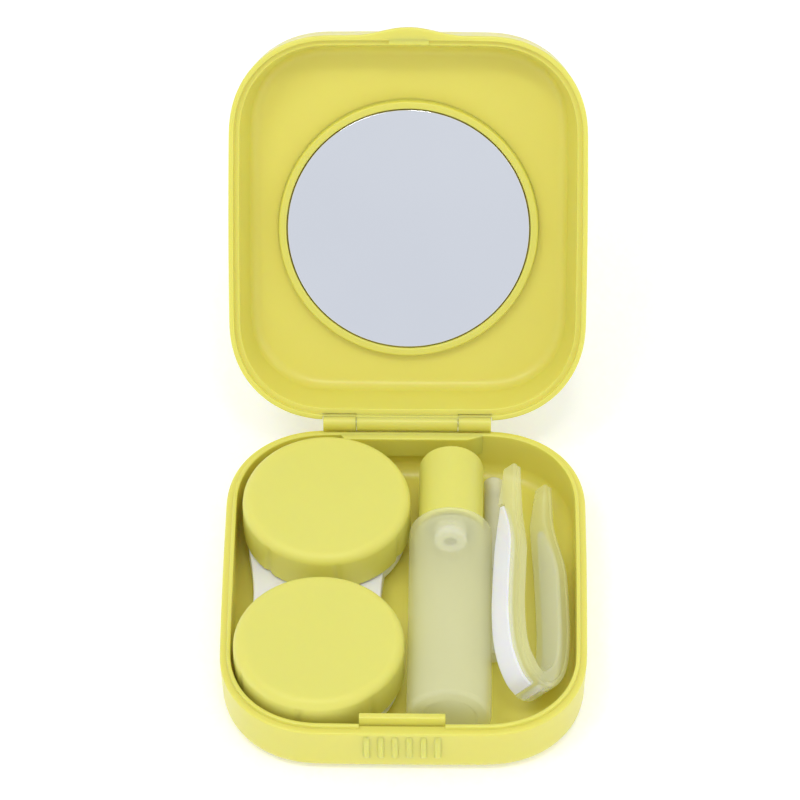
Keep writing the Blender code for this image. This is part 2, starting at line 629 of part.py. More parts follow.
# ---- applicator -------------------------------------------------------------------------
def make_applicator():
    spigot = HANDLE_LENGTH + 7.0
    handle = [(0, spigot), (1.1, spigot), (1.1, HANDLE_LENGTH), (STICK_RADIUS - 0.1, HANDLE_LENGTH),
              (STICK_RADIUS - 0.1, 0.6), (STICK_RADIUS - 0.7, 0), (0, 0)]
    start = HANDLE_LENGTH + GAP
    end = STICK_LENGTH
    cup = [(0, end - 2.6), (1.0, end - 2.4), (1.6, end), (STICK_RADIUS, end), (STICK_RADIUS, end - 0.5),
           (STICK_RADIUS - 0.12, end - 1.0), (STICK_RADIUS - 0.12, start), (1.4, start),
           (1.4, spigot + GAP), (0, spigot + GAP)]
    for name, profile, surface in (("applicator_handle", handle, FROSTED_PLASTIC), ("applicator_cup", cup, SOFT_CLEAR)):
        piece = turned(name, profile, surface, PARTS, steps=24)
        piece.location = (STICK_X * MM, STICK_FRONT * MM, STICK_Z * MM)
        piece.rotation_euler = (-math.pi / 2, 0, 0)


clear_scene()
PARTS = new_collection("contact_lens_case")
CUTTERS = new_collection("cutters")
SHELL = material("shell_yellow", YELLOW, 0.35)
CAP_PLASTIC = material("cap_yellow", PALE_YELLOW, 0.45)
WHITE_PLASTIC = material("white_plastic", WHITE, 0.35)
FROSTED_PLASTIC = material("frosted_plastic", FROSTED, 0.5)
SOFT_CLEAR = material("soft_clear", FROSTED, 0.4)
SILVERED = material("mirror_silver", MIRROR, 0.03, 1.0)
METAL = material("pin_steel", STEEL, 0.3, 1.0)
PAD = material("adhesive_foam", FOAM, 0.8)

OUTLINE = case_outline()
NORMALS = outline_normals(OUTLINE)

make_base()
lid_pivot = lid_frame()
make_lid(lid_pivot)
make_hinge_pin()
make_lens_case()
make_lens_cap("rear")
make_lens_cap("front")
make_bottle()
make_tweezers()
make_applicator()
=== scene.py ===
"""Looks of the contact lens travel kit: smooth shells, caps, bottle, tweezers and applicator
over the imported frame, with moulded plastic, frosted plastic, silicone and mirror materials.

Lengths are in millimetres until a mesh is made.  The lid's pieces are built closed and then
swung open about the hinge, which is where the frame has them at rest.
"""

import json
import math

import bmesh
import bpy
import numpy as np
from mathutils import Matrix, Vector


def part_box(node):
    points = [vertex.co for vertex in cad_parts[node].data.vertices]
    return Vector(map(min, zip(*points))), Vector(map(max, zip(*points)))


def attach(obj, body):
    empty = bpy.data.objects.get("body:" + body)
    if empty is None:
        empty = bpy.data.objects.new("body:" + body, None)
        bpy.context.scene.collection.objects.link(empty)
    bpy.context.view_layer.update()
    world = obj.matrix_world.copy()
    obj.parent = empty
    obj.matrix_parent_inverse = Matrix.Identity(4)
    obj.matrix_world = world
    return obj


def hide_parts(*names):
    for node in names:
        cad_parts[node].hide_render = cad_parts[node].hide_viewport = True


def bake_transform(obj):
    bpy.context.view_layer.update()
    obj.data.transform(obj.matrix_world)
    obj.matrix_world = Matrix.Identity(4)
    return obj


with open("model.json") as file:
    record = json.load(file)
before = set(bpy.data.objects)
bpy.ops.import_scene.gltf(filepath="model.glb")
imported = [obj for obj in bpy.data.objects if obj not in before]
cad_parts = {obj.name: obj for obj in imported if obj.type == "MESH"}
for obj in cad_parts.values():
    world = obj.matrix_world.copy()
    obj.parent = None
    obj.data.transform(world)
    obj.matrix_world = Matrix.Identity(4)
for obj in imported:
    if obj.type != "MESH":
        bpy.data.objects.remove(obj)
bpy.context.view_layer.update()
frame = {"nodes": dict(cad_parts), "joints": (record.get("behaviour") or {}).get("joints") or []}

MM = 0.001
JOINTS = {joint["name"]: joint for joint in frame["joints"]}


def box_mm(node):
    low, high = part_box(node)
    return low / MM, high / MM


def joint_point(name):
    return Vector(JOINTS[name]["pos_m"]) / MM


# ---- driving sizes ----------------------------------------------------------------------
SHELL_LOW, SHELL_HIGH = box_mm("base_shell")
CASE_WIDTH = SHELL_HIGH.x - SHELL_LOW.x
CASE_DEPTH = CASE_WIDTH + 6.4
CORNER_RADIUS = 18.6
CORNER_POWER = 2.2
SIDE_BULGE = 0.5
BASE_HEIGHT = 11.0
BASE_FLOOR = 1.6
LIP_HEIGHT = 0.8
WALL = 2.0
RIM_GAP = 0.3

LID_HEIGHT = 12.4
LID_INNER_DEPTH = 10.9
LID_RIM_WIDTH = 0.95
LID_REBATE = 1.2
LID_RIM_Z = BASE_HEIGHT + RIM_GAP
LID_FLOOR_Z = LID_RIM_Z + LID_INNER_DEPTH
TAB_REACH = 1.5
TAB_HALF_WIDTH = 10.5
TONGUE_HALF_WIDTH = 7.9
HOOK_HALF_WIDTH = 3.75
HINGE_PAD_REACH = 3.1

HINGE = joint_point("lid_hinge")
OPEN_ANGLE = math.radians(JOINTS["lid_hinge"]["range_deg"][1])
BARREL_RADIUS = 1.6
KNUCKLE_SPLIT = 9.7
KNUCKLE_GAP = 0.05
KNUCKLE_ROOM = 0.12
KNUCKLE_OUTER = 16.0

MIRROR_LOW, MIRROR_HIGH = box_mm("mirror")
MIRROR_RADIUS = (MIRROR_HIGH.x - MIRROR_LOW.x) / 2
MIRROR_Y = 1.7
RING_INNER = MIRROR_RADIUS + 0.22
RING_OUTER = RING_INNER + 1.5
RING_DEPTH = 8.7

TWEEZER_ORIGIN = joint_point("right_arm_squeeze")
TWEEZER_ORIGIN.y = 0.0
TWEEZER_ROLL = math.radians(45)
TWEEZER_HEIGHT = 6.3
LEAF_HEIGHT = 4.4
LEAF_THICKNESS = 1.3
LEAF_TIP_Y = 17.0
ARM_THICKNESS = 3.0
PAD_TIP_Y = 26.3

FLOOR_GLOW = 0.24

WELL_RADIUS = 11.4
WELL_WALL_MIDDLE = 12.2
WELL_RIM_RADIUS = 13.0
WELL_FOOT_RADIUS = 14.9
WELL_FOOT_HEIGHT = 4.5
WEB_X = -16.4
WEB_WAIST = 11.9
WEB_FLARE = 1.3
CAP_NOTCHES = 7
CAP_BORE = 13.7

BOTTLE_WALL = 0.9
BOTTLE_NECK_LENGTH = 8.2
BOTTLE_NECK_RADIUS = 4.3
BOTTLE_NECK_BORE = 3.3
NOZZLE_BORE = 1.3
NOZZLE_STEM_BORE = 2.2
BOTTLE_CAP_BORE = 4.9


# ---- mesh helpers -----------------------------------------------------------------------
def finish_mesh(name, bm, surface, matrix=None, sharp=35):
    """Turns a bmesh in millimetres into an object in metres, moved by matrix (in millimetres)."""
    if matrix is not None:
        bm.transform(matrix)
    bmesh.ops.scale(bm, vec=(MM, MM, MM), verts=bm.verts)
    bmesh.ops.recalc_face_normals(bm, faces=bm.faces)
    mesh = bpy.data.meshes.new(name)
    bm.to_mesh(mesh)
    bm.free()
    mesh.shade_smooth()
    mesh.set_sharp_from_angle(angle=math.radians(sharp))
    mesh.materials.append(surface)
    obj = bpy.data.objects.new(name, mesh)
    bpy.context.scene.collection.objects.link(obj)
    return obj


def soften(obj, width=0.0, segments=3):
    """Rounds hard edges and evens the shading of the flat faces beside them."""
    if width:
        bevel = obj.modifiers.new("edge", "BEVEL")
        bevel.width = width * MM
        bevel.segments = segments
        bevel.limit_method = "ANGLE"
        bevel.angle_limit = math.radians(35)
    obj.modifiers.new("flats", "WEIGHTED_NORMAL").keep_sharp = True
    return obj


def settle(obj):
    """Applies an object's modifiers, so its mesh is final."""
    bpy.context.view_layer.update()
    final = bpy.data.meshes.new_from_object(obj.evaluated_get(bpy.context.evaluated_depsgraph_get()))
    obj.modifiers.clear()
    obj.data = final
    return obj


def cut(obj, tool):
    """Takes a tool's shape out of an object for good, and removes the tool."""
    modifier = obj.modifiers.new("cut", "BOOLEAN")
    modifier.operation = "DIFFERENCE"
    modifier.solver = "EXACT"
    modifier.object = tool
    settle(obj)
    bpy.data.objects.remove(tool, do_unlink=True)
    obj.data.set_sharp_from_angle(angle=math.radians(35))


def loft(name, rings, surface, matrix=None, ends=(True, True), sharp=35):
    """A body through rings of equal point count; ends says which end rings are filled."""
    bm = bmesh.new()
    rows = [[bm.verts.new(point) for point in ring] for ring in rings]
    count = len(rows[0])
    for lower, upper in zip(rows, rows[1:]):
        for i in range(count):
            j = (i + 1) % count
            bm.faces.new((lower[i], lower[j], upper[j], upper[i]))
    for row, filled in zip((rows[0], rows[-1]), ends):
        if filled:
            bm.faces.new(row)
    return finish_mesh(name, bm, surface, matrix, sharp)


def lathe(name, profile, surface, matrix=None, steps=96, shape=None):
    """A profile of (radius, height) turned about Z; shape(angle, radius, height) may change a radius."""
    bm = bmesh.new()
    angles = np.linspace(0, 2 * math.pi, steps, endpoint=False)
    rows = []
    for radius, height in profile:
        if radius < 1e-6:
            rows.append([bm.verts.new((0, 0, height))])
            continue
        radii = [shape(t, radius, height) if shape else radius for t in angles]
        rows.append([bm.verts.new((r * math.cos(t), r * math.sin(t), height)) for r, t in zip(radii, angles)])
    if len(rows[0]) > 1 and len(rows[-1]) > 1:
        rows.append(rows[0])
    for a, b in zip(rows, rows[1:]):
        for i in range(steps):
            j = (i + 1) % steps
            corners = [a[i % len(a)], a[j % len(a)], b[j % len(b)], b[i % len(b)]]
            bm.faces.new(list(dict.fromkeys(corners)))
    return finish_mesh(name, bm, surface, matrix)


def prism(name, outline, low, high, surface, matrix=None, axis="X"):
    """A flat outline pushed out along X (outline in Y, Z) or along Z (outline in X, Y)."""
    bm = bmesh.new()
    along_x = axis == "X"
    corners = [(low, a, b) if along_x else (a, b, low) for a, b in outline]
    push = Vector((high - low, 0, 0)) if along_x else Vector((0, 0, high - low))
    face = bm.faces.new([bm.verts.new(corner) for corner in corners])
    result = bmesh.ops.extrude_face_region(bm, geom=[face])
    moved = [item for item in result["geom"] if isinstance(item, bmesh.types.BMVert)]
    bmesh.ops.translate(bm, vec=push, verts=moved)
    return finish_mesh(name, bm, surface, matrix)


def arc(centre, radius, start, end, steps):
    angles = np.radians(np.linspace(start, end, steps + 1))
    return [(centre[0] + radius * math.cos(t), centre[1] + radius * math.sin(t)) for t in angles]


def rounded(corners, steps=6, closed=False):
    """A path through (a, b, radius) corners, each replaced by an arc of steps stretches."""
    path = []
    count = len(corners)
    for i, (a, b, radius) in enumerate(corners):
        here = np.array((a, b), float)
        if not closed and i in (0, count - 1):
            path.append(tuple(here))
            continue
        before = np.array(corners[i - 1][:2]) - here
        after = np.array(corners[(i + 1) % count][:2]) - here
        room = min(np.linalg.norm(before), np.linalg.norm(after)) * 0.49
        before /= np.linalg.norm(before)
        after /= np.linalg.norm(after)
        half = math.acos(max(-1.0, min(1.0, float(before @ after)))) / 2
        reach = min(room, radius / math.tan(half))
        if half > math.radians(89) or reach < 1e-4:
            path += [tuple(here)] * (steps + 1)
            continue
        middle = (before + after) / np.linalg.norm(before + after)
        centre = here + middle * reach / math.cos(half)
        first = here + before * reach - centre
        last = here + after * reach - centre
        turn = math.pi - 2 * half
        for t in np.linspace(0, 1, steps + 1):
            spoke = (math.sin((1 - t) * turn) * first + math.sin(t * turn) * last) / math.sin(turn)
            path.append(tuple(centre + spoke))
    return path


def smooth_path(points, steps):
    """A Catmull-Rom curve through the points, with the given steps in each stretch."""
    knots = [np.array(p, float) for p in points]
    knots = [2 * knots[0] - knots[1]] + knots + [2 * knots[-1] - knots[-2]]
    path = []
    for a, b, c, d in zip(knots, knots[1:], knots[2:], knots[3:]):
        for t in np.arange(steps) / steps:
            path.append(0.5 * (2 * b + (c - a) * t + (2 * a - 5 * b + 4 * c - d) * t ** 2
                               + (3 * b - a - 3 * c + d) * t ** 3))
    path.append(knots[-2])
    return np.array(path)


def smoothstep(low, high, value):
    t = min(1.0, max(0.0, (value - low) / (high - low)))
    return t * t * (3 - 2 * t)


# ---- materials --------------------------------------------------------------------------
def shader_of(name):
    made = bpy.data.materials.new(name)
    made.use_nodes = True
    return made, made.node_tree, made.node_tree.nodes["Principled BSDF"]


def noise(tree, scale, detail=3.0):
    place = tree.nodes.new("ShaderNodeTexCoord")
    texture = tree.nodes.new("ShaderNodeTexNoise")
    texture.inputs["Scale"].default_value = scale
    texture.inputs["Detail"].default_value = detail
    tree.links.new(place.outputs["Object"], texture.inputs["Vector"])
    return texture.outputs["Fac"]


def vary_colour(tree, shader, colour, other, scale):
    """The base colour drifts between two close colours."""
    mix = tree.nodes.new("ShaderNodeMix")
    mix.data_type = "RGBA"
    mix.inputs["A"].default_value = (*colour, 1)
    mix.inputs["B"].default_value = (*other, 1)
    tree.links.new(noise(tree, scale), mix.inputs["Factor"])
    tree.links.new(mix.outputs["Result"], shader.inputs["Base Color"])


def vary_roughness(tree, shader, low, high, scale):
    spread = tree.nodes.new("ShaderNodeMapRange")
    spread.inputs["From Min"].default_value = 0.3
    spread.inputs["From Max"].default_value = 0.7
    spread.inputs["To Min"].default_value = low
    spread.inputs["To Max"].default_value = high
    tree.links.new(noise(tree, scale), spread.inputs["Value"])
    tree.links.new(spread.outputs["Result"], shader.inputs["Roughness"])


def grain(tree, shader, scale, depth_mm):
    """A fine moulded skin."""
    bump = tree.nodes.new("ShaderNodeBump")
    bump.inputs["Strength"].default_value = 0.5
    bump.inputs["Distance"].default_value = depth_mm * MM
    tree.links.new(noise(tree, scale, 2.0), bump.inputs["Height"])
    tree.links.new(bump.outputs["Normal"], shader.inputs["Normal"])


def moulded_plastic(name, colour, other, roughness, scatter_mm, skin=1600, skin_depth=0.006):
    made, tree, shader = shader_of(name)
    vary_colour(tree, shader, colour, other, 60)
    vary_roughness(tree, shader, *roughness, 220)
    grain(tree, shader, skin, skin_depth)
    shader.inputs["IOR"].default_value = 1.5
    shader.inputs["Subsurface Weight"].default_value = 0.55
    shader.inputs["Subsurface Radius"].default_value = (1.0, 0.8, 0.25)
    shader.inputs["Subsurface Scale"].default_value = scatter_mm * MM
    return made


def clear_plastic(name, colour, other, roughness, clear):
    """Frosted or soft see-through plastic; clear is how much light goes straight through one wall."""
    made, tree, shader = shader_of(name)
    vary_colour(tree, shader, colour, other, 90)
    vary_roughness(tree, shader, *roughness, 300)
    shader.inputs["IOR"].default_value = 1.45
    shader.inputs["Alpha"].default_value = 1 - clear
    return made


def silvered_glass(name):
    made, tree, shader = shader_of(name)
    vary_colour(tree, shader, (0.93, 0.95, 0.97), (0.86, 0.88, 0.91), 25)
    vary_roughness(tree, shader, 0.02, 0.06, 40)
    shader.inputs["Metallic"].default_value = 1.0
    return made


def metal(name):
    made, tree, shader = shader_of(name)
    vary_colour(tree, shader, (0.62, 0.62, 0.63), (0.52, 0.52, 0.54), 400)
    vary_roughness(tree, shader, 0.29, 0.4, 500)
    shader.inputs["Metallic"].default_value = 1.0
    return made


def foam(name):
    made, tree, shader = shader_of(name)
    vary_colour(tree, shader, (0.72, 0.72, 0.70), (0.62, 0.62, 0.60), 900)
    vary_roughness(tree, shader, 0.75, 0.95, 900)
    grain(tree, shader, 2500, 0.03)
    return made


# ---- the case's outline -----------------------------------------------------------------
def case_outline(side_steps=30, corner_steps=26):
    """The rounded rectangle seen from above, anticlockwise, with slightly bowed sides."""
    half_x = CASE_WIDTH / 2 - SIDE_BULGE
    half_y = CASE_DEPTH / 2 - SIDE_BULGE
    run_x = half_x - CORNER_RADIUS
    run_y = half_y - CORNER_RADIUS
    quarter = np.linspace(0, math.pi / 2, corner_steps + 1)
    along = np.cos(quarter) ** (2 / CORNER_POWER)
    across = np.sin(quarter) ** (2 / CORNER_POWER)
    corner = np.column_stack((run_x + CORNER_RADIUS * along, run_y + CORNER_RADIUS * across))
    back = np.column_stack((np.linspace(run_x, -run_x, side_steps + 2)[1:-1], np.full(side_steps, half_y)))
    left = np.column_stack((np.full(side_steps, -half_x), np.linspace(run_y, -run_y, side_steps + 2)[1:-1]))
    points = np.concatenate((corner, back, corner[::-1] * (-1, 1), left,
                             -corner, -back, corner[::-1] * (1, -1), -left))
    bow_x = 1 + SIDE_BULGE * (1 - (points[:, 1] / half_y) ** 2) / half_x
    bow_y = 1 + SIDE_BULGE * (1 - (points[:, 0] / half_x) ** 2) / half_y
    return points * np.column_stack((bow_x, bow_y))


def outline_normals(points):
    tangent = np.roll(points, -1, axis=0) - np.roll(points, 1, axis=0)
    normal = np.column_stack((tangent[:, 1], -tangent[:, 0]))
    return normal / np.linalg.norm(normal, axis=1)[:, None]


OUTLINE = case_outline()
NORMALS = outline_normals(OUTLINE)


def shell_ring(inset, height, tab=0.0):
    points = OUTLINE - NORMALS * inset
    if tab:
        share = np.clip(np.abs(OUTLINE[:, 0]) / TAB_HALF_WIDTH, 0, 1)
        points[:, 1] -= np.where(OUTLINE[:, 1] < 0, tab * np.cos(share * math.pi / 2) ** 2, 0)
    return [(x, y, height) for x, y in points]


def hinge_rod(name, radius, low, high, surface, matrix=None):
    outline = arc((HINGE.y, HINGE.z), radius, 0, 360, 64)[:-1]
    return prism(name, outline, low, high, surface, matrix)


# ---- base -------------------------------------------------------------------------------
def make_base():
    profile = rounded([(6.0, 0, 0), (0.5, 0, 3.1), (0, BASE_HEIGHT, 0.35), (1.25, BASE_HEIGHT, 0.12),
                       (1.27, BASE_HEIGHT + LIP_HEIGHT, 0.22), (WALL, BASE_HEIGHT + LIP_HEIGHT, 0.22),
                       (WALL + 0.2, BASE_FLOOR, 3.0), (7.5, BASE_FLOOR, 0)])
    base = loft("base_tray", [shell_ring(a, z) for a, z in profile], SHELL)
    front = -CASE_DEPTH / 2
    face = front + 2.35
    pocket = [(front + 1.15, BASE_HEIGHT), (face, BASE_HEIGHT), (face, BASE_HEIGHT + 3),
              (front + 1.15, BASE_HEIGHT + 3)]
    cut(base, prism("hook_pocket", pocket, -TONGUE_HALF_WIDTH, TONGUE_HALF_WIDTH, SHELL))
    cut(base, hinge_rod("knuckle_room", BARREL_RADIUS + KNUCKLE_ROOM, -KNUCKLE_SPLIT, KNUCKLE_SPLIT, SHELL))
    show(soften(base), "base", "shell_yellow", "base_shell")

    root = face - 0.6
    back = face + 1.2
    tongue = [(root, BASE_HEIGHT - 0.6), (root, BASE_HEIGHT - 3.0), (back - 0.15, BASE_HEIGHT - 3.6),
              (back, BASE_HEIGHT + 2.0), (face, BASE_HEIGHT + 2.0), (face, BASE_HEIGHT - 0.6)]
    bar = prism("latch_tongue", tongue, -TONGUE_HALF_WIDTH, TONGUE_HALF_WIDTH, SHELL)
    show(soften(bar, 0.2), "base", "shell_yellow")
    make_grip(front)

    rear = CASE_DEPTH / 2
    top = BASE_HEIGHT + LIP_HEIGHT - 0.03
    rings = [[(x, rear - reach, 6.8), (x, rear - 1.6, 6.2), (x, rear - 1.6, top), (x, rear - reach, top)]
             for x, reach in ((-12.6, 2.1), (-11.9, HINGE_PAD_REACH), (11.5, HINGE_PAD_REACH), (14.5, 2.1))]
    show(soften(loft("hinge_pad", rings, SHELL), 0.25), "base", "shell_yellow")
    lug = [(rear - 0.8, 7.2), (rear + 0.1, 6.8)] + arc((HINGE.y, HINGE.z), BARREL_RADIUS, -14, 219, 38)
    for side, sign in (("left", -1), ("right", 1)):
        ends = sorted((sign * (KNUCKLE_SPLIT + KNUCKLE_GAP), sign * KNUCKLE_OUTER))
        knuckle = prism("base_knuckle_" + side, lug, *ends, SHELL)
        show(soften(knuckle, 0.15), "base", "shell_yellow")


def make_grip(front):
    """Finger ribs: upright half-round bars that fade into the front wall at both ends."""
    ribs = 6
    pitch = 2.6
    for i in range(ribs):
        x = (i - (ribs - 1) / 2) * pitch
        rings = []
        for z in np.linspace(3.2, BASE_HEIGHT - 0.7, 20):
            swell = smoothstep(3.2, 4.6, z) * (1 - 0.5 * smoothstep(BASE_HEIGHT - 1.8, BASE_HEIGHT - 0.7, z))
            lean = 0.5 * (1 - z / BASE_HEIGHT)
            rings.append([(x + 0.7 * math.cos(t), front + lean + 0.3 + 0.75 * swell * math.sin(t), z)
                          for t in np.linspace(math.pi, 2 * math.pi, 13)])
        show(soften(loft("grip_rib_%d" % (i + 1), rings, SHELL, sharp=60)), "base", "shell_yellow")


# ---- lid --------------------------------------------------------------------------------
def lid_profile():
    """(inset, height, thumb tab) from the inside floor, round the rim and up to the roof."""
    roof = LID_RIM_Z + LID_HEIGHT
    inside = rounded([(9.0, LID_FLOOR_Z, 0), (4.0, LID_FLOOR_Z, 2.4), (2.0, LID_RIM_Z + LID_REBATE, 0.15),
                      (LID_RIM_WIDTH, LID_RIM_Z + LID_REBATE, 0.12), (LID_RIM_WIDTH, LID_RIM_Z, 0.2),
                      (0.6, LID_RIM_Z, 0)])
    outside = rounded([(0.6, LID_RIM_Z, 0), (0.0, LID_RIM_Z, 0.35), (0.0, LID_RIM_Z + 0.9, 0),
                       (0.25, LID_RIM_Z + 3.0, 3.0), (0.5, LID_RIM_Z + 5.0, 3.0), (0.9, roof, 5.0),
                       (9.0, roof, 0)], steps=8)
    path = [(a, z, 0.0) for a, z in inside[:-1]]
    for a, z in outside:
        fade = 1 - smoothstep(LID_RIM_Z + 0.8, LID_RIM_Z + 4.4, z)
        path.append((a, z, TAB_REACH * fade * smoothstep(0.7, 0.0, a) if a < 0.7 else 0.0))
    return path


def make_lid():
    lid = loft("lid_cover", [shell_ring(*row) for row in lid_profile()], SHELL, OPENED)
    for side, sign in (("left", -1), ("right", 1)):
        ends = sorted((sign * KNUCKLE_SPLIT, sign * (KNUCKLE_OUTER + KNUCKLE_ROOM)))
        cut(lid, hinge_rod("knuckle_room_" + side, BARREL_RADIUS + KNUCKLE_ROOM, *ends, SHELL))
    show(soften(lid), "lid", "shell_yellow", "lid_shell")

    ring_top = LID_RIM_Z + RING_DEPTH
    ring = rounded([(RING_OUTER + 0.45, LID_FLOOR_Z + 0.1, 0), (RING_OUTER, LID_FLOOR_Z - 0.05, 0.35),
                    (RING_OUTER, ring_top, 0.4), (RING_INNER, ring_top, 0.35),
                    (RING_INNER, LID_FLOOR_Z + 0.1, 0)])
    seat = Matrix.Translation((0, MIRROR_Y, 0))
    show(soften(lathe("mirror_ring", ring, SHELL, OPENED @ seat, steps=180)), "lid", "shell_yellow")

    rear = CASE_DEPTH / 2
    web = [(rear - 0.9, HINGE.z + 3.4), (rear - 0.9, HINGE.z)]
    web += arc((HINGE.y, HINGE.z), BARREL_RADIUS, 180, 374, 32) + [(rear + 0.05, HINGE.z + 4.6)]
    reach = KNUCKLE_SPLIT - KNUCKLE_GAP
    knuckle = prism("lid_knuckle", web, -reach, reach, SHELL, OPENED)
    show(soften(knuckle, 0.15), "lid", "shell_yellow")

    front = -CASE_DEPTH / 2
    hook = [(front + 0.6, LID_RIM_Z + 0.02), (front + 1.75, LID_RIM_Z + 0.1), (front + 1.95, LID_RIM_Z + 0.5),
            (front + 1.75, LID_RIM_Z + 1.0), (front + 0.6, LID_RIM_Z + 1.25)]
    bar = prism("latch_hook", hook, -HOOK_HALF_WIDTH, HOOK_HALF_WIDTH, SHELL, OPENED)
    show(soften(bar, 0.15), "lid", "shell_yellow")


def make_mirror():
    """A thin silvered disc with a ground edge."""
    back = LID_FLOOR_Z - 0.3 - 0.4 - 0.3
    face = back - 0.9
    profile = [(0, face, 0), (MIRROR_RADIUS, face, 0.12), (MIRROR_RADIUS, back, 0.12), (0, back, 0)]
    seat = Matrix.Translation((0, MIRROR_Y, 0))
    disc = lathe("mirror_glass", rounded(profile, 3), SILVERED, OPENED @ seat, steps=180)
    show(soften(disc), "lid", "mirror_silver", "mirror")


# ---- lens case --------------------------------------------------------------------------
def make_lens_case():
    low, high = box_mm("lens_case_body")
    for place in ("rear", "front"):
        cap_low, cap_high = box_mm(place + "_lens_cap")
        centre = (cap_low + cap_high) / 2
        make_lens_cap(place, cap_low, cap_high)
        height = high.z - low.z
        corners = [(0, 1.4, 0), (WELL_RADIUS, 1.4, 3.0), (WELL_RADIUS, height, 0.3),
                   (WELL_RIM_RADIUS, height, 0.3), (WELL_RIM_RADIUS, WELL_FOOT_HEIGHT, 0.3),
                   (WELL_FOOT_RADIUS, WELL_FOOT_HEIGHT, 0.4), (WELL_FOOT_RADIUS, 0, 3.0), (0, 0, 0)]
        spot = Matrix.Translation((centre.x, centre.y, low.z))
        well = lathe("lens_well_" + place, rounded(corners), WHITE_PLASTIC, spot, steps=128)
        show(soften(well), "lens_case", "white_plastic", *(["lens_case_body"] if place == "rear" else []))
    rear, front = (sum(box_mm(place + "_lens_cap"), Vector()).y / 2 for place in ("rear", "front"))
    middle = (rear + front) / 2
    reach = (rear - front) / 2 - 5
    edge = [(WEB_WAIST + WEB_FLARE * abs(s) ** 1.8, middle + reach * s) for s in np.linspace(-1, 1, 33)]
    outline = [(WEB_X + half, y) for half, y in edge] + [(WEB_X - half, y) for half, y in reversed(edge)]
    web = prism("lens_case_web", outline, low.z + 0.5, low.z + 4.4, WHITE_PLASTIC, axis="Z")
    for place in ("rear", "front"):
        centre = sum(box_mm(place + "_lens_cap"), Vector()) / 2
        spot = Matrix.Translation((centre.x, centre.y, low.z))
        room = [(0, -1), (WELL_WALL_MIDDLE, -1), (WELL_WALL_MIDDLE, 8), (0, 8)]
        cut(web, lathe("well_room_" + place, room, WHITE_PLASTIC, spot))
    show(soften(web, 0.4), "lens_case", "white_plastic")


def make_lens_cap(place, low, high):
    """A screw cap with a flat top, a well-rounded top edge and shallow finger notches round its edge."""
    centre = (low + high) / 2
    radius = (high.x - low.x) / 2
    height = high.z - low.z
    first = math.radians({"rear": -81.5, "front": -102.0}[place])

    def notched(angle, r, z):
        turn = (angle - first) * CAP_NOTCHES / (2 * math.pi)
        off = (turn - round(turn)) * 2 * math.pi / CAP_NOTCHES * radius
        depth = 0.45 * math.exp(-(off / 0.7) ** 2)
        depth *= 1 - smoothstep(height - 3.4, height - 1.2, z)
        return r - depth * smoothstep(radius - 1.6, radius - 0.2, r)

    corners = [(0, height, 0), (radius, height, 1.9), (radius, 0, 0.3), (CAP_BORE, 0, 0.2),
               (CAP_BORE, height - 1.3, 0.4), (0, height - 1.3, 0)]
    spot = Matrix.Translation((centre.x, centre.y, low.z))
    cap = lathe(place + "_cap", rounded(corners, 10), CAP_PLASTIC, spot, steps=420, shape=notched)
    show(soften(cap), place + "_cap", "cap_yellow", place + "_lens_cap")


# ---- bottle -----------------------------------------------------------------------------
def along_y(x, y, z):
    """Lays a piece turned about Z along +Y, starting at the point."""
    return Matrix.Translation((x, y, z)) @ Matrix.Rotation(-math.pi / 2, 4, "X")


def make_bottle():
    low, high = box_mm("bottle_body")
    x = (low.x + high.x) / 2
    z = (low.z + high.z) / 2
    radius = (high.x - low.x) / 2
    lying = along_y(x, low.y, z)
    length = high.y - low.y
    shoulder = length - BOTTLE_NECK_LENGTH
    inner = radius - BOTTLE_WALL
    body = [(0, BOTTLE_WALL, 0), (inner, BOTTLE_WALL, 0.8), (inner, shoulder - 1.0, 0.8),
            (BOTTLE_NECK_BORE, shoulder - 1.0, 0.3), (BOTTLE_NECK_BORE, length, 0.1),
            (BOTTLE_NECK_RADIUS, length, 0.2), (BOTTLE_NECK_RADIUS, shoulder, 0.2), (radius, shoulder, 0.8),
            (radius, 0, 0.9), (5.2, 0, 0.3), (4.9, 0.35, 0.3), (0, 0.45, 0)]
    show(soften(lathe("bottle_shell", rounded(body, 5), FROSTED, lying, steps=128)),
         "bottle", "frosted_plastic", "bottle_body")

    seat = length + 0.3
    bore = NOZZLE_BORE
    wide = NOZZLE_STEM_BORE
    foot = shoulder - 2.4
    nozzle = [(bore, foot, 0), (bore, foot + 0.5, 0.1), (wide, foot + 0.9, 0.1), (wide, seat - 0.6, 0.1),
              (bore, seat - 0.2, 0.1), (bore, seat + 4.5, 0.1), (bore + 0.7, seat + 4.5, 0.2),
              (bore + 1.0, seat + 0.8, 0.2), (4.2, seat + 0.8, 0.2), (4.2, seat, 0.1), (3.05, seat, 0.1),
              (3.05, foot, 0.3), (bore, foot, 0)]
    plug = lathe("nozzle", rounded(nozzle, 4)[:-1], WHITE_PLASTIC, lying, steps=72)
    show(soften(plug), "bottle", "white_plastic", "bottle_nozzle")

    cap_low, cap_high = box_mm("bottle_cap")
    cap_radius = (cap_high.x - cap_low.x) / 2
    cap_length = cap_high.y - cap_low.y
    cap = [(0, cap_length, 0), (cap_radius - 0.1, cap_length, 1.5), (cap_radius, 0, 0.25),
           (BOTTLE_CAP_BORE, 0, 0.2), (BOTTLE_CAP_BORE, cap_length - 1.4, 0.4), (0, cap_length - 1.4, 0)]
    show(soften(lathe("bottle_screw_cap", rounded(cap, 8), CAP_PLASTIC, along_y(x, cap_low.y, z), steps=128)),
         "bottle_cap", "cap_yellow", "bottle_cap")


# ---- tweezers ---------------------------------------------------------------------------
ARM_OUTLINE = ((1.2, -25.7), (3.5, -24.3), (5.7, -20.8), (6.95, -16.0), (7.4, -9.5), (7.2, -3.0),
               (6.7, 5.5), (5.95, 14.0), (5.45, 21.0), (5.2, PAD_TIP_Y))


